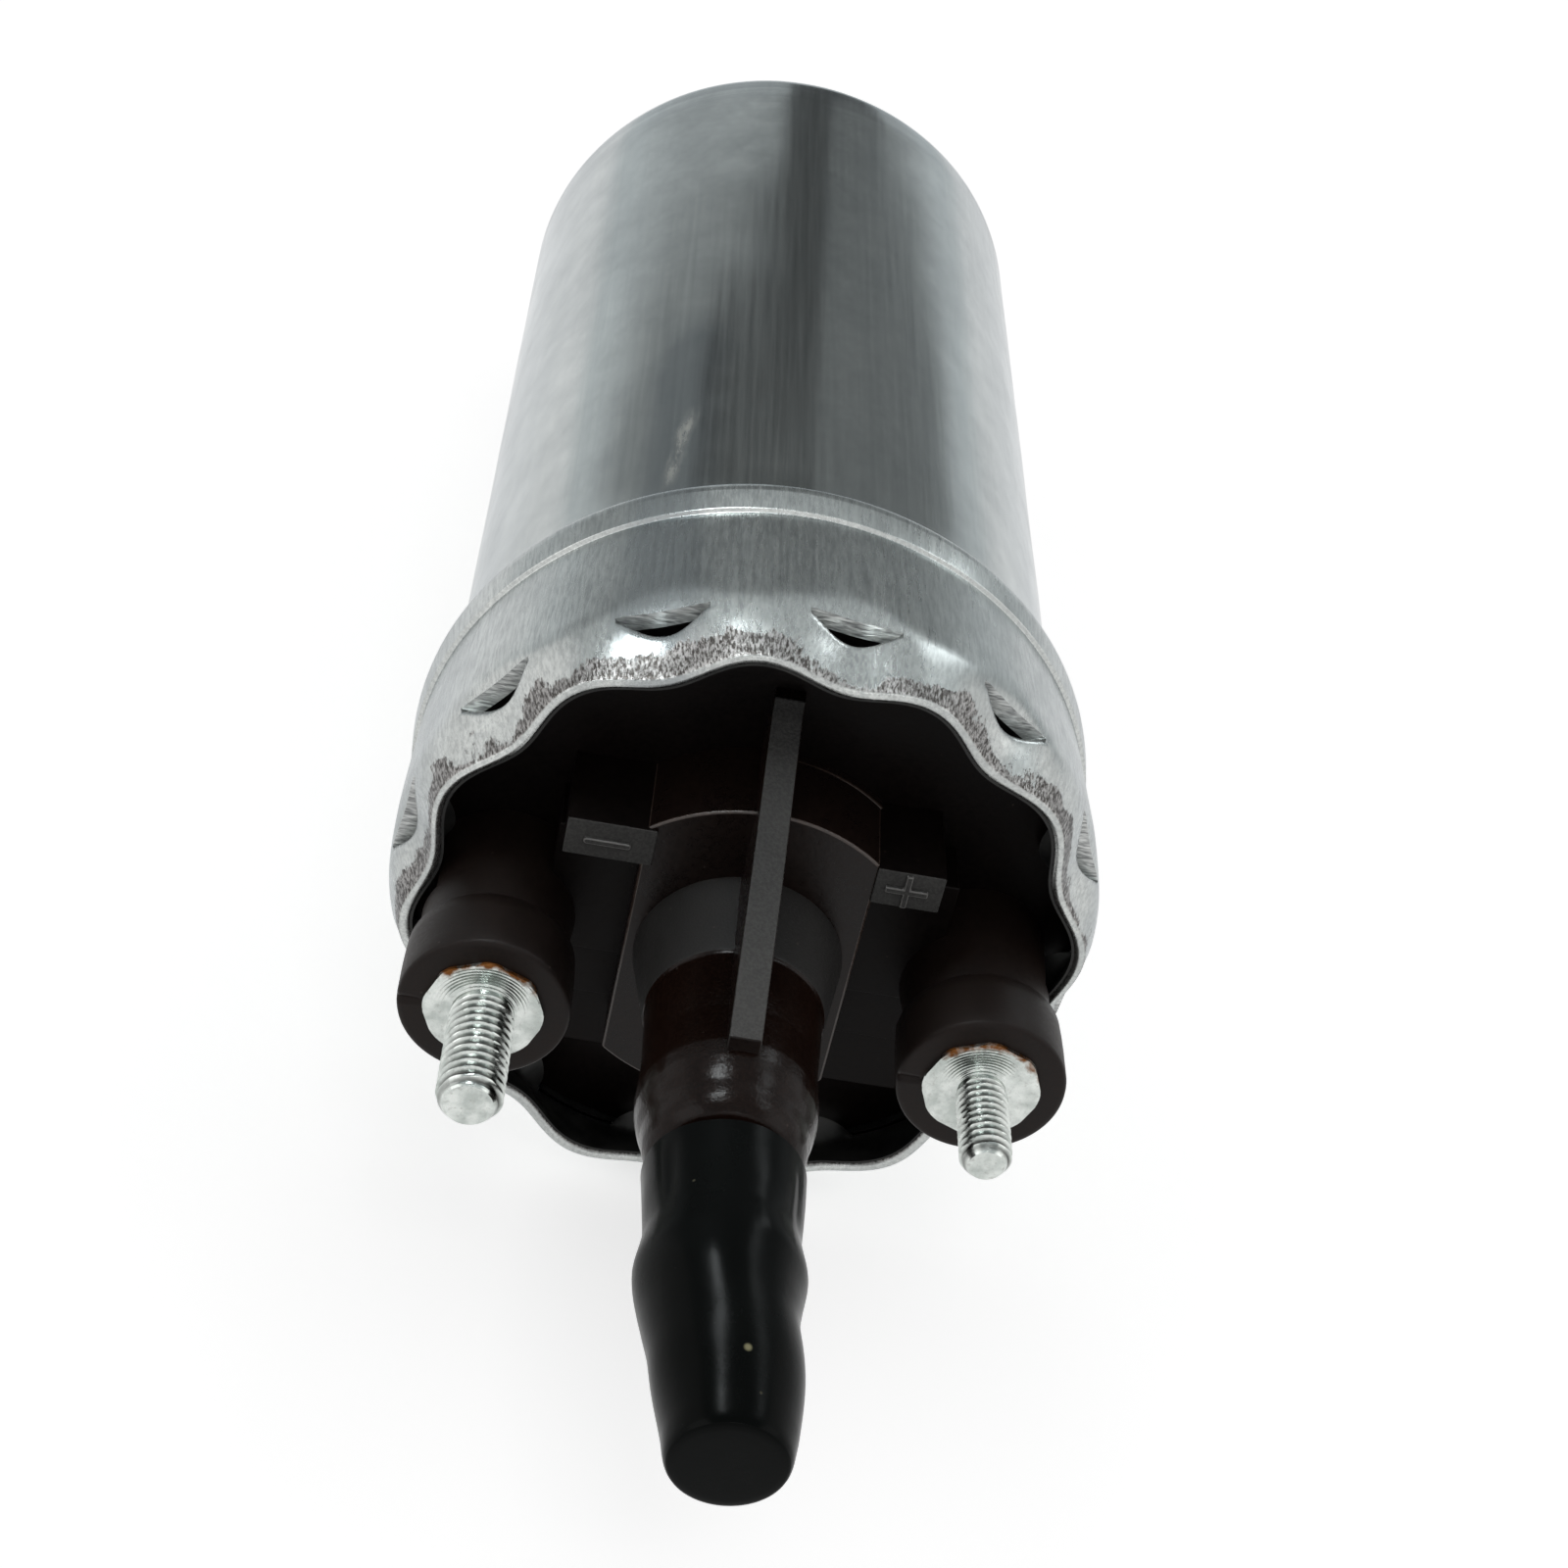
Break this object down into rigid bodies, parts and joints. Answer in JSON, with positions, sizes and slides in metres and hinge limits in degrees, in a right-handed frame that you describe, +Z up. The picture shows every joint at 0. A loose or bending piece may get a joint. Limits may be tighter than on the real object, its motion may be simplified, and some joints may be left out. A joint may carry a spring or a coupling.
{
  "type": "electric fuel pump",
  "caption": "Inline electric fuel pump in a round aluminium can with a rolled scalloped lip, a moulded outlet cover with two terminal studs, and a capped hose nipple.",
  "frame": {"origin": "on the pump's axis, in the middle of the plain can where a clamp holds it", "axes": "+Y along the pump's axis towards the inlet, so the outlet points along -Y; +Z up, through the cover's gusset; +X to the right seen from the outlet"},
  "size_m": [0.0568, 0.1865, 0.0568],
  "materials": {
    "can_aluminium": "bright drawn, light streaks along the can",
    "cover_plastic": "dark brown moulded plastic",
    "seal_rubber": "smooth",
    "stud_zinc": "zinc plated",
    "valve_brass": "turned",
    "valve_plastic": "moulded",
    "spring_steel": "drawn wire",
    "cap_rubber": "soft, slightly shiny",
    "motor_steel": "rolled",
    "ferrite": "sintered",
    "lamination_iron": "stacked sheet",
    "winding_copper": "copper",
    "shaft_steel": "ground",
    "bush_bronze": "sintered",
    "brush_carbon": "carbon",
    "pump_metal": "lapped",
    "inlet_aluminium": "die cast",
    "strainer_plastic": "fine mesh"
  },
  "bodies": {
    "housing": {"housing_can": "can_aluminium", "outlet_cover": "cover_plastic", "cover_seal_ring": "seal_rubber", "negative_stud": "stud_zinc", "positive_stud": "stud_zinc", "check_valve_seat": "valve_brass", "check_valve_spring": "spring_steel", "flux_ring": "motor_steel", "magnet_right": "ferrite", "magnet_left": "ferrite", "magnet_clip_upper": "spring_steel", "magnet_clip_lower": "spring_steel", "front_bush": "bush_bronze", "rear_bush": "bush_bronze", "brush_spring_right": "spring_steel", "brush_spring_left": "spring_steel", "brush_lead_right": "winding_copper", "brush_lead_left": "winding_copper", "outlet_plate": "pump_metal", "rotor_ring": "pump_metal", "inlet_plate": "pump_metal", "pump_screws": "shaft_steel", "inlet_cover": "inlet_aluminium", "inlet_seal_ring": "seal_rubber", "inlet_strainer": "strainer_plastic", "relief_spring": "spring_steel"},
    "armature": {"armature_shaft": "shaft_steel", "lamination_stack": "lamination_iron", "armature_winding": "winding_copper", "commutator_hub": "valve_plastic", "commutator_bars": "winding_copper", "front_thrust_washer": "shaft_steel", "rear_thrust_washer": "shaft_steel", "inner_rotor": "shaft_steel"},
    "outer_rotor_body": {"outer_rotor": "shaft_steel"},
    "check_valve_body": {"check_valve": "valve_plastic"},
    "relief_valve_body": {"relief_valve": "shaft_steel"},
    "right_brush": {"brush_right": "brush_carbon"},
    "left_brush": {"brush_left": "brush_carbon"},
    "dust_cap_body": {"dust_cap": "cap_rubber"}
  },
  "joints": [
    {"name": "armature_spin", "type": "hinge", "parent": "housing", "child": "armature", "pos_m": [0, 0, 0], "axis": [0, 1, 0], "continuous": true},
    {"name": "outer_rotor_spin", "type": "hinge", "parent": "housing", "child": "outer_rotor_body", "pos_m": [-0.00125, 0, 0], "axis": [0, 1, 0], "continuous": true},
    {"name": "check_valve_lift", "type": "slide", "parent": "housing", "child": "check_valve_body", "axis": [0, -1, 0], "range_m": [0, 0.003], "stiffness_N_per_m": 400, "springref_m": -0.004, "deforming": ["check_valve_spring"]},
    {"name": "relief_valve_lift", "type": "slide", "parent": "housing", "child": "relief_valve_body", "axis": [0, 1, 0], "range_m": [0, 0.0012], "stiffness_N_per_m": 2000, "springref_m": -0.004, "deforming": ["relief_spring"]},
    {"name": "right_brush_slide", "type": "slide", "parent": "housing", "child": "right_brush", "axis": [1, 0, 0], "range_m": [0, 0.0025], "stiffness_N_per_m": 150, "springref_m": -0.006, "deforming": ["brush_spring_right", "brush_lead_right"]},
    {"name": "left_brush_slide", "type": "slide", "parent": "housing", "child": "left_brush", "axis": [-1, 0, 0], "range_m": [0, 0.0025], "stiffness_N_per_m": 150, "springref_m": -0.006, "deforming": ["brush_spring_left", "brush_lead_left"]},
    {"name": "dust_cap_off", "type": "slide", "parent": "housing", "child": "dust_cap_body", "axis": [0, -1, 0], "range_m": [0, 0.03]}
  ],
  "couplings": [
    {"joint": "outer_rotor_spin", "follows": "armature_spin", "ratio": 0.85714}
  ]
}
